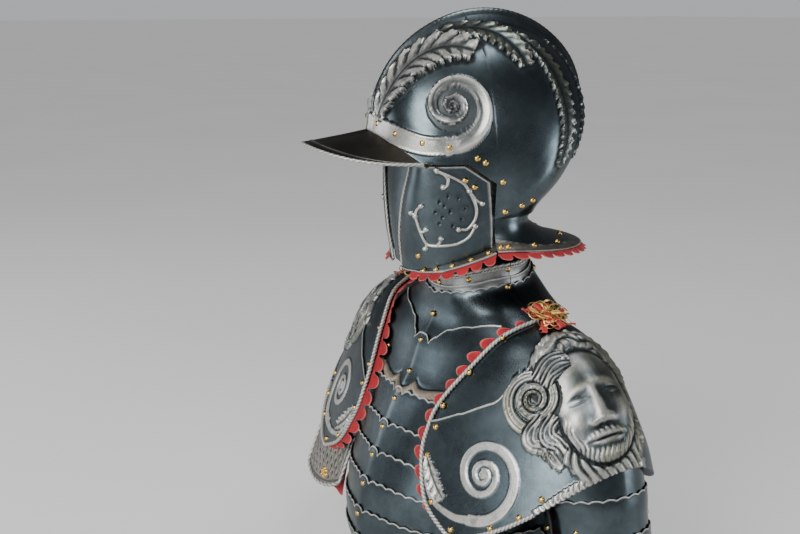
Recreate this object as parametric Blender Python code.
"""Corselet of blued plate: burgonet with hinged cheek pieces, lamed gorget, anima breast,
back plate and two winged pauldrons with their upper arms.

Frame: metres, +Z up, the wearer faces -Y and the wearer's left is +X.  The origin is the
middle of the wearer's neck base.  Tables and sizes below are in millimetres; MM turns them
into metres when a mesh is made.
"""
import math

import bmesh
import bpy
import numpy as np

MM = 0.001

# ---------------------------------------------------------------- driving dimensions (mm)
PLATE = 1.6            # wall of every steel plate
SEAM = 0.5             # air between two plates that lie on each other
LAP = PLATE + SEAM     # step from one lapped plate to the next
CLOTH = 1.2            # wall of the red cloth borders
LEATHER = 2.2          # wall of straps

# Torso sections: heights at front, side and back, half width, front depth with its ridge,
# back depth, height of the middle ridge.
TORSO_COLUMNS = ("front_z", "side_z", "back_z", "half_width", "front", "back", "ridge")
TORSO = (
    (-20.0, -4.0, 14.0, 60.0, 62.0, 56.0, 0.0),
    (-34.0, -20.0, -2.0, 60.0, 62.0, 57.0, 0.0),
    (-46.0, -37.0, -20.0, 68.0, 63.0, 61.0, 1.0),
    (-61.0, -55.0, -43.0, 102.0, 65.0, 74.0, 2.0),
    (-80.0, -75.0, -74.0, 136.0, 71.5, 88.0, 3.0),
    (-105.0, -100.0, -110.0, 160.0, 86.0, 101.0, 4.0),
    (-140.0, -135.0, -147.0, 164.0, 103.0, 110.0, 5.0),
    (-175.0, -170.0, -180.0, 160.0, 124.0, 114.0, 6.0),
    (-210.0, -206.0, -214.0, 158.0, 142.0, 114.0, 7.0),
    (-245.0, -242.0, -248.0, 157.0, 157.0, 108.0, 8.0),
    (-280.0, -277.0, -282.0, 156.0, 170.0, 100.0, 8.0),
    (-315.0, -312.0, -316.0, 154.0, 177.0, 93.0, 8.0),
    (-352.0, -348.0, -352.0, 149.0, 177.0, 87.0, 8.0),
    (-390.0, -384.0, -388.0, 139.0, 167.0, 83.0, 7.0),
    (-426.0, -418.0, -420.0, 129.0, 147.0, 81.0, 6.0),
    (-446.0, -438.0, -438.0, 139.0, 153.0, 91.0, 6.0),
    (-464.0, -456.0, -454.0, 155.0, 169.0, 107.0, 6.0),
)
TORSO_POWER = 2.15     # roundness of a torso section
RIDGE_ANGLE = 0.15     # radians from the middle line over which the ridge fades

# Front heights at which each breast plate begins; each one laps up over the one above.
BREAST_BORDERS = (-92.0, -160.0, -198.0, -232.0, -267.0, -304.0, -341.0, -378.0, -414.0, -466.0)
BREAST_OVERLAP = 9.0   # height that two breast plates share
SIDE_SEAM = math.radians(93.0)   # half angle that the breast covers below the arms
BREAST_STEPS = 7       # facets of a lame from the middle to one side
BACK_GAP = 0.6         # extra air between the back plate and what laps over it
BACK_TOP_SHARE = 0.58  # width of the back plate between the shoulder blades' tops

# Helmet: turned a little towards the wearer's right.
HELMET_TURN = math.radians(-14.0)
EAR_F, EAR_Z = 19.0, 60.0        # the side line from which the skull's sections fan out
EAR_L = 91.0                     # half width of the skull at that line
SKULL_FIRST = math.radians(38.0)
SKULL_LAST = math.radians(180.0)
SKULL_COLUMNS = ("top_radius", "comb", "half_width")
SKULL = (
    (161.0, 3.0, 102.0), (188.0, 6.0, 103.0), (211.0, 9.0, 103.0), (227.5, 12.0, 103.0),
    (238.5, 14.0, 103.0), (242.0, 15.0, 103.0), (237.0, 15.0, 103.0), (222.5, 14.0, 103.0),
    (192.5, 11.0, 102.0), (144.0, 7.0, 98.0), (98.0, 3.0, 95.0), (79.0, 0.0, 92.5),
)
COMB_WIDTH = 6.5       # how far to each side the comb fades out
NOTCH_TOP_Z = 127.0    # height of the skull's edge over the cheek pieces
NOTCH_REAR_Z = 102.0   # the same at the back of the cheek pieces
HINGE_FRONT_F = 57.0   # where the edge begins to slope down to the ear
CHEEK_GAP = 3.5        # slot between the skull's edge and a cheek piece, for the hinge
HINGE_ENDS_F = (56.0, 27.0)      # the hinge's ends, from front to back
HINGE_L = 93.0         # the hinge's distance from the helmet's middle
KNUCKLE = 1.3          # radius of a hinge knuckle
PEAK_TIP_F, PEAK_TIP_Z = 225.0, 144.0
PEAK_HALF_TURN = math.radians(60.0)
PEAK_SIDE_F, PEAK_SIDE_L, PEAK_SIDE_Z = 97.0, 95.5, 127.5

# Cheek pieces: front edge (forward, sideways), rear edge (forward, sideways), roundness.
CHEEK_COLUMNS = ("front_f", "front_l", "rear_f", "rear_l", "power")
CHEEK = (
    (110.0, 52.0, 26.0, 92.0, 3.0),
    (114.0, 36.0, 23.5, 91.5, 2.7),
    (114.0, 24.0, 21.5, 90.5, 2.5),
    (109.0, 18.0, 20.0, 88.0, 2.4),
)

# Nape plate: height at the side and at the back, back radius, half width.
SHIELD_SETBACK = 2.0   # how far the face shield's edges lie behind the cheek pieces' front
SHIELD_INSETS = (1.2, 2.4)       # from each cheek piece's front edge, right and left
SHIELD_HEIGHTS = (0.0, 0.35, 0.8, 1.0)     # shares of the cheek piece's height, downwards
SHIELD_BULGE = (5.0, 4.0, 2.0, 1.0)        # how far its middle stands forward at each
NAPE_COLUMNS = ("side_z", "back_z", "back_radius", "half_width")
NAPE = (
    (71.0, 71.0, 75.0, 88.5),
    (59.0, 59.0, 72.5, 89.0),
    (49.0, 50.0, 69.0, 89.5),
    (40.0, 40.0, 78.0, 91.0),
    (32.0, 27.0, 101.0, 94.0),
    (26.0, 18.0, 126.0, 98.0),
    (22.0, 12.5, 147.0, 103.0),
)
NAPE_FULL_TURN = math.radians(100.0)

# Pauldron sections: front edge, outermost line, back edge (x, y, z of each), slope of the
# front face, and the power with which a section's height rises towards its outermost line.
PAULDRON_COLUMNS = ("front_x", "front_y", "front_z", "outer_x", "outer_y", "outer_z",
                    "back_x", "back_y", "back_z", "slope", "rise")
PAULDRON = (
    (134.0, -8.0, -54.0, 138.0, 2.0, -51.0, 136.0, 16.0, -57.0, 0.00, 1.0),
    (121.0, -53.0, -71.5, 158.0, 0.0, -58.0, 125.0, 46.0, -72.0, 0.02, 1.2),
    (100.5, -85.0, -110.5, 188.0, 0.0, -69.0, 111.0, 82.0, -105.0, 0.06, 1.7),
    (80.0, -113.0, -154.0, 217.0, 0.0, -86.0, 102.0, 108.0, -145.0, 0.10, 2.0),
    (76.0, -127.0, -185.0, 240.0, 0.0, -107.0, 104.0, 118.0, -178.0, 0.14, 2.1),
    (80.0, -138.0, -217.0, 259.0, -1.0, -130.0, 116.0, 121.0, -205.0, 0.16, 2.0),
    (106.0, -149.0, -262.0, 275.0, -1.0, -158.0, 142.0, 121.0, -233.0, 0.17, 1.9),
    (150.0, -148.0, -286.0, 285.0, -1.0, -187.0, 178.0, 110.0, -252.0, 0.17, 1.8),
)
PAULDRON_BACK_RISE = 0.3         # added to the power behind the outermost line
PAULDRON_FRONT_TURN = 0.85       # under 1, the front turns back to the outermost line sooner
DIVISION_COLUMNS = ("across", "row")            # where the main plate begins
DIVISION = ((0.0, 3.7), (0.08, 3.2), (0.19, 2.95), (0.25, 2.5), (0.4, 1.7), (0.5, 1.5))

# Shell-shaped plate below each front wing, and the red lining behind it.
WING_X, WING_HALF, WING_Y, WING_DEPTH = 168.0, 46.0, -98.0, 26.0
WING_TURN = math.radians(50.0)   # half angle that the shell turns through
WING_TOP_Z, WING_LOW_Z, WING_ROUND = -270.0, -346.0, 14.0
WING_LEAN = 26.0       # how far its lower edge stands forward of its upper edge
LINING_X = (132.0, 192.0)
LINING_Y, LINING_LEAN = -113.0, 18.0
LINING_Z = (-264.0, -358.0)

ROSETTE_PLACE = (0.52, 0.5)      # across and row of the pauldron under each rosette
ROSETTE_RADIUS, ROSETTE_HEIGHT = 25.0, 9.0
CHIN_RING = (100.0, 15.0, -15.0)          # forward, left, up
CHIN_RING_RADIUS, CHIN_RING_WIRE = 5.0, 1.1

# Upper arm: a straight tapering tube.
ARM_TOP = (201.0, 1.0, -120.0)
ARM_AXIS = (0.225, -0.01, -1.0)
ARM_TOP_RADIUS, ARM_END_RADIUS = 59.0, 58.0
ARM_END = 236.0
ARM_FACETS, ARM_LAME_STEPS = 24, 8
ARM_BORDERS = (63.0, 113.0, 157.0, 236.0)

# Colours
STEEL = (0.055, 0.075, 0.085)
RED = (0.55, 0.03, 0.05)
BROWN = (0.12, 0.06, 0.03)
GILT = (0.62, 0.42, 0.12)


# ---------------------------------------------------------------- arithmetic
def blend_rows(table, place):
    """Catmull-Rom blend of a table's rows at the fractional row numbers in place."""
    rows = np.asarray(table, float)
    last = len(rows) - 1
    place = np.clip(np.asarray(place, float), 0.0, last)
    first = np.minimum(place.astype(int), last - 1)
    t = (place - first)[..., None]
    before, start = rows[np.maximum(first - 1, 0)], rows[first]
    end, after = rows[first + 1], rows[np.minimum(first + 2, last)]
    return 0.5 * (2.0 * start + (end - before) * t
                  + (2.0 * before - 5.0 * start + 4.0 * end - after) * t ** 2
                  + (3.0 * start - before - 3.0 * end + after) * t ** 3)


def columns(table, place):
    """The blended rows as one array for each column."""
    return np.moveaxis(blend_rows(table, place), -1, 0)


def unit(vectors):
    """Vectors scaled to length one."""
    return vectors / np.linalg.norm(vectors, axis=-1, keepdims=True)


def normals(surface, u, v):
    """Unit normals of a surface, from the cross product of small steps down and across.

    Every surface runs down its rows and, seen from outside, to the right across them.
    """
    step = 1e-4
    across = surface(u + step, v) - surface(u - step, v)
    down = surface(u, v + step) - surface(u, v - step)
    return unit(np.cross(down, across))


# ---------------------------------------------------------------- meshes
def add_object(name, points, faces, material):
    """One closed mesh object in metres, its faces turned outwards."""
    mesh = bpy.data.meshes.new(name)
    mesh.from_pydata((np.asarray(points) * MM).tolist(), [], faces)
    work = bmesh.new()
    work.from_mesh(mesh)
    bmesh.ops.recalc_face_normals(work, faces=work.faces)
    if work.calc_volume(signed=True) < 0.0:
        bmesh.ops.reverse_faces(work, faces=work.faces)
    work.to_mesh(mesh)
    work.free()
    mesh.materials.append(material)
    mesh.shade_smooth()
    mesh.set_sharp_from_angle(angle=math.radians(40.0))
    body = bpy.data.objects.new(name, mesh)
    bpy.context.scene.collection.objects.link(body)
    return body


def skin_pair(name, inner, outer, material, ring=False):
    """A closed wall between two grids of points; ring joins the first and last rows."""
    rows, cols = inner.shape[:2]
    count = rows * cols
    points = np.concatenate([inner.reshape(-1, 3), outer.reshape(-1, 3)])

    def at(i, j, side):
        return (i % rows) * cols + j + side * count

    steps = rows if ring else rows - 1
    faces = []
    for i in range(steps):
        for j in range(cols - 1):
            corners = ((i, j), (i + 1, j), (i + 1, j + 1), (i, j + 1))
            for trio in (corners[:3], (corners[0], *corners[2:])):
                faces.append([at(a, b, 1) for a, b in trio])
                faces.append([at(a, b, 0) for a, b in reversed(trio)])
        for j in (0, cols - 1):
            faces.append([at(i, j, 0), at(i + 1, j, 0), at(i + 1, j, 1), at(i, j, 1)])
    if not ring:
        for i in (0, rows - 1):
            for j in range(cols - 1):
                faces.append([at(i, j, 0), at(i, j + 1, 0), at(i, j + 1, 1), at(i, j, 1)])
    return add_object(name, points, faces, material)


def plate(name, surface, u, v, material, lift=0.0, wall=PLATE, ring=False):
    """A wall on a surface: its inner face stands lift off the surface, along the normals."""
    along = normals(surface, u, v)
    inner = surface(u, v) + along * np.broadcast_to(lift, u.shape)[..., None]
    return skin_pair(name, inner, inner + along * wall, material, ring)


def make_material(name, colour, metallic, roughness):
    """A Principled BSDF for one finish."""
    material = bpy.data.materials.new(name)
    material.use_nodes = True
    shader = material.node_tree.nodes["Principled BSDF"]
    shader.inputs["Base Color"].default_value = (*colour, 1.0)
    shader.inputs["Metallic"].default_value = metallic
    shader.inputs["Roughness"].default_value = roughness
    return material


def mirrored(body, name):
    """A copy of a body on the wearer's other side."""
    mesh = body.data.copy()
    mesh.name = name
    work = bmesh.new()
    work.from_mesh(mesh)
    for vertex in work.verts:
        vertex.co.x = -vertex.co.x
    bmesh.ops.reverse_faces(work, faces=work.faces)
    work.to_mesh(mesh)
    work.free()
    copy = bpy.data.objects.new(name, mesh)
    bpy.context.scene.collection.objects.link(copy)
    return copy


# ---------------------------------------------------------------- torso
def torso(angle, row):
    """Torso surface: superellipse sections round the neck axis, angle 0 at the front.

    Radius = ((|sin|/width)^n + (|cos|/depth)^n)^(-1/n) plus the middle ridge; height runs
    from the front's to the side's to the back's with the square of the cosine.
    """
    front_z, side_z, back_z, width, front, back, ridge = columns(TORSO, row)
    s, c = np.sin(angle), np.cos(angle)
    depth = np.where(c > 0.0, front - ridge, back)
    radius = ((np.abs(s) / width) ** TORSO_POWER + (np.abs(c) / depth) ** TORSO_POWER)
    radius = radius ** (-1.0 / TORSO_POWER) + ridge * np.exp(-(angle / RIDGE_ANGLE) ** 2)
    height = np.where(c > 0.0, front_z, back_z) * c ** 2 + side_z * s ** 2
    return np.stack([radius * s, -radius * c, height], -1)


def torso_row(front_height):
    """The table row at which the torso's front has the given height."""
    heights = np.array([row[0] for row in TORSO])
    return np.interp(-np.asarray(front_height), -heights, np.arange(len(TORSO)))


def shingle_rows(top, bottom, overlap):
    """Front heights and lifts of a lapped plate: over the one above, under the one below."""
    heights = np.array([top, top - overlap, bottom, bottom - overlap])
    lifts = np.array([LAP, LAP, 0.0, 0.0])
    return torso_row(heights), lifts


def torso_plate(name, angles, rows, lifts, material):
    """A plate on the torso over a fan of angles, with a lift for each of its rows."""
    u, v = np.meshgrid(angles, rows, indexing="ij")
    return plate(name, lambda a, r: torso(a, r), u, v, material,
                 np.broadcast_to(lifts, u.shape))


def front_angles(half, steps):
    """Angles across the front: equal steps, with two closer ones beside the middle ridge."""
    side = np.linspace(0.0, half, steps + 1)[1:]
    side = np.concatenate([[0.5 * RIDGE_ANGLE], side])
    return np.concatenate([-side[::-1], [0.0], side])


def make_gorget(steel):
    """Two narrow collar plates and the wide gorget plate, each in a front and a back half."""
    half_gap = math.radians(0.5)
    front = front_angles(math.pi / 2 - half_gap, 7)
    back = np.linspace(math.pi / 2 + half_gap, 3 * math.pi / 2 - half_gap, 13)
    for side, angles in (("front", front), ("back", back)):
        torso_plate(f"collar_rim_{side}", angles, np.array([0.0, 0.8, 1.25]),
                    np.array([0.0, 0.0, 0.0]), steel)
        torso_plate(f"collar_lame_{side}", angles, np.array([0.95, 1.25, 1.75]),
                    np.array([LAP, LAP, LAP]), steel)
        reach = 4.65 - 0.75 * np.sin(angles) ** 2
        u = np.repeat(angles[:, None], 6, 1)
        share = np.array([0.0, 0.12, 0.4, 0.6, 0.8, 1.0])
        v = 1.45 + (reach[:, None] - 1.45) * share
        lift = np.broadcast_to([2 * LAP, 2 * LAP, LAP, 0.0, 0.0, 0.0], u.shape)
        plate(f"gorget_{side}", torso, u, v, steel, lift)


def make_breast(steel):
    """The chest plate and its seven lames down to the flared waist plate."""
    angles = front_angles(SIDE_SEAM, BREAST_STEPS)
    top = torso_row(BREAST_BORDERS[0])
    bottom = torso_row(BREAST_BORDERS[1])
    end = torso_row(BREAST_BORDERS[1] - BREAST_OVERLAP)
    rows = np.array([top, top + 0.2, 0.55 * top + 0.45 * bottom, 0.25 * top + 0.75 * bottom,
                     bottom, end])
    lifts = np.array([LAP, LAP, 0.0, 0.0, 0.0, 0.0])
    reach = np.array([0.58, 0.58, 0.64, 0.82, 1.0, 1.0])     # share of the full half angle
    u, v = angles[:, None] * reach, rows[None, :] + 0.0 * angles[:, None]
    plate("breast_plate", torso, u, v, steel, np.broadcast_to(lifts, u.shape))
    for number in range(1, len(BREAST_BORDERS) - 2):
        rows, lifts = shingle_rows(BREAST_BORDERS[number], BREAST_BORDERS[number + 1],
                                   BREAST_OVERLAP)
        torso_plate(f"breast_lame_{number}", angles, rows, lifts, steel)
    waist = torso_row([BREAST_BORDERS[-2], BREAST_BORDERS[-2] - BREAST_OVERLAP, -436.0, -450.0])
    rows = np.append(waist, float(len(TORSO) - 1))
    torso_plate("waist_flange", angles, rows, np.full(5, LAP), steel)


def make_back(steel):
    """One plain back plate, tucked inside the breast at the sides and flared at the hem."""
    middle = np.linspace(SIDE_SEAM, 2 * math.pi - SIDE_SEAM, 14)
    lap = SIDE_SEAM / BREAST_STEPS
    wide = np.concatenate([[middle[0] - lap], middle, [middle[-1] + lap]])
    narrow = math.pi + (wide - math.pi) * BACK_TOP_SHARE
    rows = np.array([4.1, 4.6, 5.4, 6.3, 7.2, 8.5, 10.0, 11.5, 12.6, 13.2, 13.8, 14.4, 15.0, 16.0])
    share = np.clip((rows - 5.0) / 2.4, 0.0, 1.0) ** 1.4
    u = narrow[:, None] + (wide - narrow)[:, None] * share
    v = rows[None, :] + 0.0 * wide[:, None]
    lift = -LAP - BACK_GAP - 1.5 * np.clip(5.4 - rows, 0.0, 1.0)
    plate("back_plate", torso, u, v, steel, np.broadcast_to(lift, u.shape))


def make_straps(leather):
    """A strap inside each shoulder, under the gorget, and one round each side at the waist."""
    angles = np.radians(np.linspace(54.0, 128.0, 9))
    middle = 3.35 + 1.6 * ((angles - math.pi / 2) / math.radians(37.0)) ** 2
    u = np.repeat(angles[:, None], 2, 1)
    v = middle[:, None] + np.array([-0.3, 0.3])
    depth = -np.interp(angles, [math.radians(80.0), math.radians(100.0)], [4.6, 7.8])
    strap = plate("shoulder_strap_left", torso, u, v, leather, depth[:, None], LEATHER)
    mirrored(strap, "shoulder_strap_right")
    angles = np.radians(np.linspace(74.0, 112.0, 6))
    u, v = np.meshgrid(angles, torso_row([-372.0, -352.0]), indexing="ij")
    strap = plate("side_strap_left", torso, u, v, leather, LAP + PLATE + 2 * SEAM, LEATHER)
    mirrored(strap, "side_strap_right")


# ---------------------------------------------------------------- helmet
def helmet_space(forward, side, height):
    """Points of the helmet's own frame (forward, to the left, up) in the world."""
    s, c = math.sin(HELMET_TURN), math.cos(HELMET_TURN)
    return np.stack([forward * s + side * c, -forward * c + side * s,
                     np.broadcast_to(height, np.shape(forward))], -1)


def skull_section(fan):
    """Top radius, comb height, half width and full turn of the section at an angle."""
    place = (fan - SKULL_FIRST) / (SKULL_LAST - SKULL_FIRST) * (len(SKULL) - 1)
    top, comb, width = columns(SKULL, place)
    return top, comb, width, math.pi - np.arcsin(EAR_L / width)


def skull(fan, turn, inset=0.0):
    """Skull surface: a fan of sections about the ear line.

    In the section at the angle fan, the sideways reach is width * sin(turn) and the radius is
    top * (cos(turn) - cos(end)) / (1 - cos(end)), with the comb added along the middle.
    """
    top, comb, width, full = skull_section(fan)
    end = np.cos(full)
    side = (width - inset) * np.sin(turn)
    radius = (top - comb - inset) * (np.cos(turn) - end) / (1.0 - end)
    radius = radius + comb * np.exp(-(side / (COMB_WIDTH - 0.5 * inset)) ** 2)
    return helmet_space(EAR_F + radius * np.cos(fan), side, EAR_Z + radius * np.sin(fan))


def notch_height(forward):
    """Height of the skull's edge over a cheek piece: level, then sloping to the ear."""
    slope = (NOTCH_TOP_Z - NOTCH_REAR_Z) / (HINGE_FRONT_F - EAR_F)
    return np.minimum(NOTCH_TOP_Z, NOTCH_REAR_Z + (forward - EAR_F) * slope)


def skull_edge_turn(fan):
    """How far a section turns before it meets the notch over the cheek pieces."""
    top, comb, width, full = skull_section(fan)
    slope = (NOTCH_TOP_Z - NOTCH_REAR_Z) / (HINGE_FRONT_F - EAR_F)
    level = (NOTCH_TOP_Z - EAR_Z) / np.sin(fan)
    sloping = (NOTCH_REAR_Z - EAR_Z) / np.abs(np.sin(fan) - slope * np.cos(fan))
    radius = np.where(fan < math.radians(88.0), np.minimum(level, sloping), 0.0)
    return np.arccos(radius / (top - comb) * (1.0 - np.cos(full)) + np.cos(full))


def make_skull(steel):
    """The skull with its comb, a thin closed wall open below and over the face."""
    fans = np.radians([38.0, 44.0, 51.0, 60.5, 68.0, 77.0, 86.0, 90.0, 103.0, 116.0, 129.0,
                       142.0, 155.0, 168.0, 180.0])
    share = np.array([0.0, 0.035, 0.08, 0.15, 0.3, 0.45, 0.6, 0.75, 0.88, 1.0])
    share = np.concatenate([-share[:0:-1], share])
    edge = skull_edge_turn(fans)
    u = np.repeat(fans[:, None], len(share), 1)
    v = edge[:, None] * share
    skin_pair("skull", skull(u, v, PLATE + 0.2), skull(u, v), steel)


def brow(turn):
    """The skull's lower front line, where the peak is riveted on."""
    return skull(np.full(np.shape(turn), math.radians(40.5)), turn)


def peak(across, out):
    """Peak surface: ruled from the brow line (out 0) to a pointed rim (out 1)."""
    turns = across * PEAK_HALF_TURN
    away = (SEAM + 0.3 + 3.5 * across ** 4)[..., None]
    root = brow(turns) + helmet_space(np.cos(turns), np.sin(turns), 0.0) * away
    way = across * math.pi / 2
    rim = helmet_space(PEAK_SIDE_F + (PEAK_TIP_F - PEAK_SIDE_F) * np.cos(way),
                       PEAK_SIDE_L * np.sin(way),
                       PEAK_SIDE_Z + (PEAK_TIP_Z - PEAK_SIDE_Z) * np.abs(np.cos(way)) ** 3)
    return root + (rim - root) * out[..., None]


def make_peak(steel):
    """The pointed peak, a wall that runs out from the brow to a tip."""
    u, v = np.meshgrid(np.linspace(-1.0, 1.0, 15), np.array([0.0, 0.5, 1.0]), indexing="ij")
    plate("peak", peak, u, v, steel)


def cheek(along, down):
    """Cheek surface: in plan a superellipse quarter from the face opening to the ear.

    Height runs from the top line under the skull's edge to the bottom line at the neck.
    """
    front_f, front_l, rear_f, rear_l, power = columns(CHEEK, down * (len(CHEEK) - 1))
    turn = along * math.pi / 2
    c, s = np.maximum(np.cos(turn), 1e-9), np.maximum(np.sin(turn), 1e-9)
    forward = rear_f + (front_f - rear_f) * c ** (2.0 / power)
    side = front_l + (rear_l - front_l) * s ** (2.0 / power)
    top = notch_height(forward) - CHEEK_GAP
    low = 26.0 - 33.0 * (forward - rear_f) / 90.0
    return helmet_space(forward, side, top + (low - top) * down)


def cheek_grid():
    """Grid places of a cheek piece, with the added row of its flange."""
    along = np.array([0.0, 0.06, 0.16, 0.28, 0.4, 0.52, 0.64, 0.76, 0.88, 1.0])
    down = np.array([0.0, 0.2, 0.45, 0.7, 0.87, 1.0])
    return np.meshgrid(along, down, indexing="ij")


def flange_rim(along):
    """The outer rim of the flange under a cheek piece, widening away from the chin."""
    foot = cheek(along, np.ones_like(along))
    s, c = math.sin(HELMET_TURN), math.cos(HELMET_TURN)
    turn = along * math.pi / 2
    out = np.stack([np.cos(turn) * s + np.sin(turn) * c,
                    -np.cos(turn) * c + np.sin(turn) * s, -0.65 + 0.0 * turn], -1)
    reach = 15.0 * np.clip((along - 0.22) / 0.3, 0.1, 1.0)
    return foot + out * reach[..., None]


def helmet_mirrored(body, name):
    """A copy of a body on the other side of the helmet's own middle plane."""
    copy = mirrored(body, name)
    turn = np.array([math.cos(2 * HELMET_TURN), math.sin(2 * HELMET_TURN)])
    for vertex in copy.data.vertices:
        x, y = vertex.co.x, vertex.co.y
        vertex.co.x = turn[0] * x - turn[1] * y
        vertex.co.y = turn[1] * x + turn[0] * y
    return copy


def make_face_shield(steel):
    """The plate over the face: carried by the right cheek piece and lapped by the left one."""
    down, across = np.meshgrid(np.array([0.0, 0.2, 0.45, 0.7, 0.98]),
                               np.array([-1.0, -0.6, -0.2, 0.2, 0.6, 1.0]))
    front_f, front_l = columns(CHEEK, down * (len(CHEEK) - 1))[:2]
    half_width = front_l - np.where(across < 0.0, *SHIELD_INSETS)
    bulge = np.interp(down, SHIELD_HEIGHTS, SHIELD_BULGE)
    forward = front_f - SHIELD_SETBACK + bulge * (1.0 - across ** 2)
    height = cheek(np.zeros_like(down), down)[..., 2]
    side = half_width * across
    skin_pair("face_shield", helmet_space(forward - PLATE, side, height),
              helmet_space(forward, side, height), steel)


def make_cheeks(steel, cloth):
    """The two cheek pieces with their flanges and the red border beneath each flange."""
    u, v = cheek_grid()
    along = normals(cheek, np.clip(u, 1e-3, 1 - 1e-3), np.clip(v, 1e-3, 1 - 1e-3))
    along = along * np.sign(np.sum(along * helmet_space(np.zeros_like(u), u + 0.2, 0.0),
                                   -1))[..., None]
    outer = cheek(u, v)
    inner = outer - along * PLATE
    rim = flange_rim(u[:, 0])
    drop = np.array([0.0, 0.0, -PLATE])
    outer = np.concatenate([outer, rim[:, None]], 1)
    inner = np.concatenate([inner, rim[:, None] + drop], 1)
    piece = skin_pair("cheek_left", inner, outer, steel)
    helmet_mirrored(piece, "cheek_right")
    make_face_shield(steel)
    part = slice(3, None)
    foot = cheek(u[part, 0], np.ones_like(u[part, 0])) + drop * 1.9
    tip = rim[part] + (rim[part] - foot - drop * 1.9) * 0.5 + drop * 1.9
    under = np.stack([0.35 * foot + 0.65 * (rim[part] + drop * 1.9), tip], 1)
    border = skin_pair("cheek_border_left", under - np.array([0.0, 0.0, CLOTH]), under, cloth)
    helmet_mirrored(border, "cheek_border_right")


def nape(turn, row):
    """Nape surface: the skull's lowest section drawn in and then flared out to a rim."""
    side_z, back_z, back_radius, half_width = columns(NAPE, row)
    end = math.cos(NAPE_FULL_TURN)
    share = (np.cos(turn) - end) / (1.0 - end)
    height = side_z + (back_z - side_z) * np.clip(np.cos(turn), 0.0, 1.0)
    return helmet_space(EAR_F - 2.0 - back_radius * share, half_width * np.sin(turn), height)


def make_nape(steel, cloth):
    """The nape plate, tucked inside the skull and flared at the rim, with its red border."""
    turns = np.linspace(-1.0, 1.0, 19) * (NAPE_FULL_TURN - math.radians(1.0))
    u, v = np.meshgrid(turns, np.arange(float(len(NAPE))), indexing="ij")
    outer = nape(u, v)
    away = -normals(nape, u, v)
    away = away * np.sign(np.sum(away * helmet_space(-np.cos(u), np.sin(u), 1.0), -1))[..., None]
    skin_pair("nape_plate", outer - away * PLATE, outer, steel)
    last = len(NAPE) - 1.0
    down = np.array([0.0, 0.0, -PLATE - SEAM])
    start = nape(turns, np.full_like(turns, last - 0.45)) + down * 1.3
    rim = nape(turns, np.full_like(turns, last)) + down
    out = unit((rim - start) * np.array([1.0, 1.0, 0.3]))
    under = np.stack([start, rim, rim + out * 8.0 - np.array([0.0, 0.0, 3.0])], 1)
    skin_pair("nape_border", under - np.array([0.0, 0.0, CLOTH]), under, cloth)


def hinge_line():
    """The two ends of the left hinge's axis, on the slanting edge over the cheek piece."""
    ends = np.array(HINGE_ENDS_F)
    return helmet_space(ends, np.array(HINGE_L), notch_height(ends) - 0.5 * CHEEK_GAP)


def prism(name, centre_a, centre_b, outline, side, up, material):
    """A straight bar between two centres whose cross-section is an outline (side, up)."""
    ring = [side * a + up * b for a, b in outline]
    points = [centre_a + r for r in ring] + [centre_b + r for r in ring]
    n = len(ring)
    faces = [list(range(n)), list(range(2 * n - 1, n - 1, -1))]
    faces += [[i, (i + 1) % n, n + (i + 1) % n, n + i] for i in range(n)]
    return add_object(name, points, faces, material)


def hinge_outline(sideways, tail_sign):
    """A round knuckle, a bridge to a leaf that far sideways, and the leaf up or down."""
    half, leaf, reach = 0.5 * KNUCKLE, 1.0, 12.0
    away = math.copysign(1.0, sideways)
    arc = np.radians(np.linspace(150.0, -150.0, 9))
    outline = [(-away * KNUCKLE * math.cos(a), tail_sign * KNUCKLE * math.sin(a)) for a in arc]
    return outline + [
        (sideways + away * leaf, -tail_sign * half), (sideways + away * leaf, tail_sign * reach),
        (sideways, tail_sign * reach), (sideways, tail_sign * half)]


def make_chin_ring(brass):
    """The small ring hanging at the chin end of the left cheek piece."""
    centre = helmet_space(*(np.array(value) for value in CHIN_RING))
    sides = np.linspace(0.0, 2.0 * math.pi, 7)[:-1]
    around = np.linspace(0.0, 2.0 * math.pi, 13)[:-1]
    a, b = np.meshgrid(around, sides, indexing="ij")
    out = CHIN_RING_RADIUS + CHIN_RING_WIRE * np.cos(b)
    points = helmet_space(out * np.cos(a), CHIN_RING_WIRE * np.sin(b), out * np.sin(a)) + centre
    rows, cols = a.shape
    faces = [[i * cols + j, ((i + 1) % rows) * cols + j, ((i + 1) % rows) * cols + (j + 1) % cols,
              i * cols + (j + 1) % cols] for i in range(rows) for j in range(cols)]
    add_object("chin_ring", points.reshape(-1, 3), faces, brass)


def make_hinges(brass):
    """Each cheek piece's hinge: a knuckle and leaf on the skull, and one on the piece."""
    front, rear = hinge_line()
    way = unit(rear - front)
    lateral = unit(helmet_space(np.array(0.0), np.array(1.0), 0.0))
    up = unit(np.cross(lateral, way))
    up = up * np.sign(up[2])
    side = unit(np.cross(way, up))
    side = side * np.sign(np.sum(side * lateral))
    middle = 0.5 * (front + rear)
    fixed = prism("hinge_left", front, middle - way * 0.2, hinge_outline(5.0, 1.0), side,
                  up, brass)
    moving = prism("hinge_leaf_left", middle + way * 0.2, rear, hinge_outline(-3.9, -1.0),
                   side, up, brass)
    helmet_mirrored(fixed, "hinge_right")
    helmet_mirrored(moving, "hinge_leaf_right")


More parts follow.
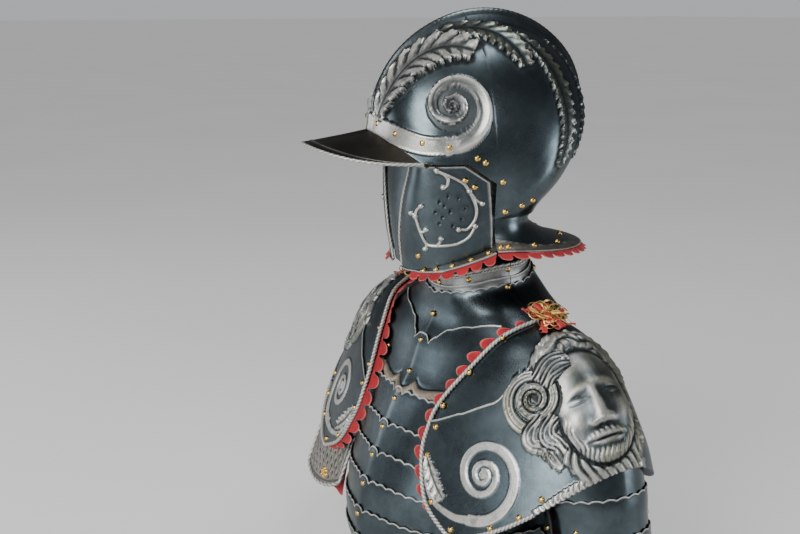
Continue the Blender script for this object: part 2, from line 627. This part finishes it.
# ---------------------------------------------------------------- pauldrons and arms
def pauldron(across, row):
    """Left pauldron surface: across is 0 at the front edge, 0.5 outermost and 1 at the back.

    Each half section is a quarter ellipse that leaves its edge at the front face's slope and
    turns to run back along Y at the outermost line.
    """
    (front_x, front_y, front_z, outer_x, outer_y, outer_z,
     back_x, back_y, back_z, slope, rise) = columns(PAULDRON, row)
    ahead = across < 0.5
    edge_x, edge_y = np.where(ahead, front_x, back_x), np.where(ahead, front_y, back_y)
    edge_z = np.where(ahead, front_z, back_z)
    turn = np.where(ahead, across, 1.0 - across) * math.pi
    out = np.sin(turn)
    run = (outer_x - edge_x) * slope * np.where(ahead, 1.0, -1.0)
    back = np.maximum(1.0 - np.cos(turn), 0.0) ** np.where(ahead, PAULDRON_FRONT_TURN, 1.0)
    y = edge_y + run * out + (outer_y - edge_y - run) * back
    x = edge_x + (outer_x - edge_x) * out
    rise = np.where(ahead, rise, rise + PAULDRON_BACK_RISE)
    z = edge_z + (outer_z - edge_z) * np.maximum(out, 0.0) ** rise
    return np.stack([x, y, z], -1)


ACROSS = np.array([0.0, 0.05, 0.1, 0.16, 0.22, 0.28, 0.34, 0.4, 0.46, 0.5, 0.54, 0.6, 0.66,
                   0.74, 0.82, 0.91, 1.0])


def division(across):
    """Row at which the main plate begins: low at the edges and high over the shoulder."""
    places, rows = np.array(DIVISION).T
    return np.interp(np.minimum(across, 1.0 - across), places, rows)


def make_pauldron(steel, cloth):
    """Upper plate, main plate with its wings, and the red border behind the front edge."""
    begin = division(ACROSS)
    lap = 0.45
    last = len(PAULDRON) - 1.0
    share = np.array([0.0, 0.2, 0.4, 0.6, 0.8, 1.0])
    v = 0.12 + (begin[:, None] - 0.12) * share
    v = np.concatenate([v, begin[:, None] + lap], 1)
    u = np.repeat(ACROSS[:, None], v.shape[1], 1)
    upper = plate("pauldron_top_left", pauldron, u, v, steel, -2 * PLATE - SEAM)
    mirrored(upper, "pauldron_top_right")
    low = begin[:, None] + lap + (last - begin[:, None] - lap) * np.linspace(0.0, 1.0, 7)[1:]
    v = np.concatenate([begin[:, None], begin[:, None] + lap, low], 1)
    u = np.repeat(ACROSS[:, None], v.shape[1], 1)
    main = plate("pauldron_left", pauldron, u, v, steel, -PLATE)
    mirrored(main, "pauldron_right")
    rows = np.concatenate([0.12 + (begin[0] - 0.12) * share[1:], begin[0] + lap + (
        last - begin[0] - lap) * np.linspace(0.0, 1.0, 7)])
    edge = pauldron(np.zeros_like(rows), rows)
    inward = unit(pauldron(np.full_like(rows, 0.02), rows) - edge)
    away = normals(pauldron, np.full_like(rows, 0.01), rows)
    reach = np.array([7.0, 0.0, -10.0])
    depth = 2 * LAP + 3 * SEAM
    outer = edge[:, None] + inward[:, None] * reach[None, :, None] - away[:, None] * depth
    border = skin_pair("pauldron_border_left", outer - away[:, None] * CLOTH, outer, cloth)
    mirrored(border, "pauldron_border_right")


def make_rosettes(cloth):
    """A flattened dome of ribbon on each shoulder, where the pauldron is tied on."""
    across, row = (np.array([value]) for value in ROSETTE_PLACE)
    foot = pauldron(across, row)[0]
    away = normals(pauldron, across, row)[0]
    first = unit(np.cross(away, np.array([0.0, 1.0, 0.0])))
    second = np.cross(away, first)
    sides = 16
    around = np.linspace(0.0, 2.0 * math.pi, sides + 1)[:-1]
    circle = first * np.cos(around)[:, None] + second * np.sin(around)[:, None]
    rings = ((1.0, 0.1), (1.0, 0.3), (0.9, 0.65), (0.5, 0.95))
    points = np.concatenate([foot + circle * ROSETTE_RADIUS * r + away * ROSETTE_HEIGHT * h
                             for r, h in rings])
    faces = [list(range(sides)), list(range(len(points) - sides, len(points)))]
    for start in range(0, len(points) - sides, sides):
        faces += [[start + i, start + (i + 1) % sides, start + sides + (i + 1) % sides,
                   start + sides + i] for i in range(sides)]
    left = add_object("rosette_left", points, faces, cloth)
    mirrored(left, "rosette_right")


def wing(across, down):
    """Shell below a front wing: upright, turned through an arc, its lower edge rounded."""
    turn = across * WING_TURN
    low = WING_LOW_Z + WING_ROUND * across ** 2
    return np.stack([WING_X + WING_HALF * np.sin(turn) / math.sin(WING_TURN),
                     WING_Y - WING_DEPTH * np.cos(turn) - WING_LEAN * down,
                     WING_TOP_Z + (low - WING_TOP_Z) * down], -1)


def lining(across, down):
    """Red lining behind the shell: a sheet that leans forward less than the shell does."""
    x = LINING_X[0] + (LINING_X[1] - LINING_X[0]) * across
    return np.stack([x, LINING_Y - LINING_LEAN * down + 6.0 * across ** 2,
                     LINING_Z[0] + (LINING_Z[1] - LINING_Z[0]) * down], -1)


def make_wings(steel, cloth):
    """The shell-shaped plates below the wings and the red linings that show behind them."""
    u, v = np.meshgrid(np.linspace(-1.0, 1.0, 9), np.linspace(0.0, 1.0, 4), indexing="ij")
    left = plate("wing_shell_left", wing, u, v, steel)
    mirrored(left, "wing_shell_right")
    u, v = np.meshgrid(np.linspace(0.0, 1.0, 5), np.linspace(0.0, 1.0, 2), indexing="ij")
    left = plate("wing_lining_left", lining, u, v, cloth, wall=CLOTH)
    mirrored(left, "wing_lining_right")


def arm(angle, along):
    """Upper arm surface: circles round a slanting axis, from outwards round to the back."""
    axis = unit(np.array(ARM_AXIS))
    outward = unit(np.cross(axis, np.array([0.0, 1.0, 0.0])))
    behind = unit(np.cross(outward, axis))
    radius = ARM_TOP_RADIUS + (ARM_END_RADIUS - ARM_TOP_RADIUS) * along / ARM_END
    centre = np.array(ARM_TOP) + axis * along[..., None]
    return centre + (outward * np.cos(angle)[..., None]
                     + behind * np.sin(angle)[..., None]) * radius[..., None]


def make_arm(steel):
    """Two lames, open towards the armpit, and a plain tube down to above the elbow."""
    step = 360.0 / ARM_FACETS
    angles = np.radians(step * np.arange(-ARM_LAME_STEPS, ARM_LAME_STEPS + 1))
    for number in (1, 2):
        top, bottom = ARM_BORDERS[number - 1], ARM_BORDERS[number]
        along = np.array([top, top + 9.0, bottom, bottom + 9.0])
        u, v = np.meshgrid(angles, along, indexing="ij")
        lift = LAP * (number - 1) * np.array([1.0, 1.0, 0.0, 0.0])
        lame = plate(f"arm_lame_{number}_left", arm, u, v, steel, lift)
        mirrored(lame, f"arm_lame_{number}_right")
    angles = np.radians(step * np.arange(ARM_FACETS))
    along = np.array([ARM_BORDERS[2], ARM_BORDERS[2] + 9.0, ARM_BORDERS[3] - 6.0, ARM_BORDERS[3]])
    u, v = np.meshgrid(angles, along, indexing="ij")
    tube = plate("arm_cannon_left", arm, u, v, steel, LAP, ring=True)
    mirrored(tube, "arm_cannon_right")


def main():
    """Clears the scene and builds every plate, border and strap."""
    for old in list(bpy.data.objects):
        bpy.data.objects.remove(old, do_unlink=True)
    steel = make_material("blued_steel", STEEL, 0.9, 0.35)
    cloth = make_material("red_cloth", RED, 0.0, 0.8)
    leather = make_material("strap_leather", BROWN, 0.0, 0.6)
    brass = make_material("gilt_brass", GILT, 1.0, 0.35)
    make_gorget(steel)
    make_breast(steel)
    make_back(steel)
    make_straps(leather)
    make_skull(steel)
    make_peak(steel)
    make_cheeks(steel, cloth)
    make_nape(steel, cloth)
    make_hinges(brass)
    make_chin_ring(brass)
    make_pauldron(steel, cloth)
    make_rosettes(cloth)
    make_wings(steel, cloth)
    make_arm(steel)


main()
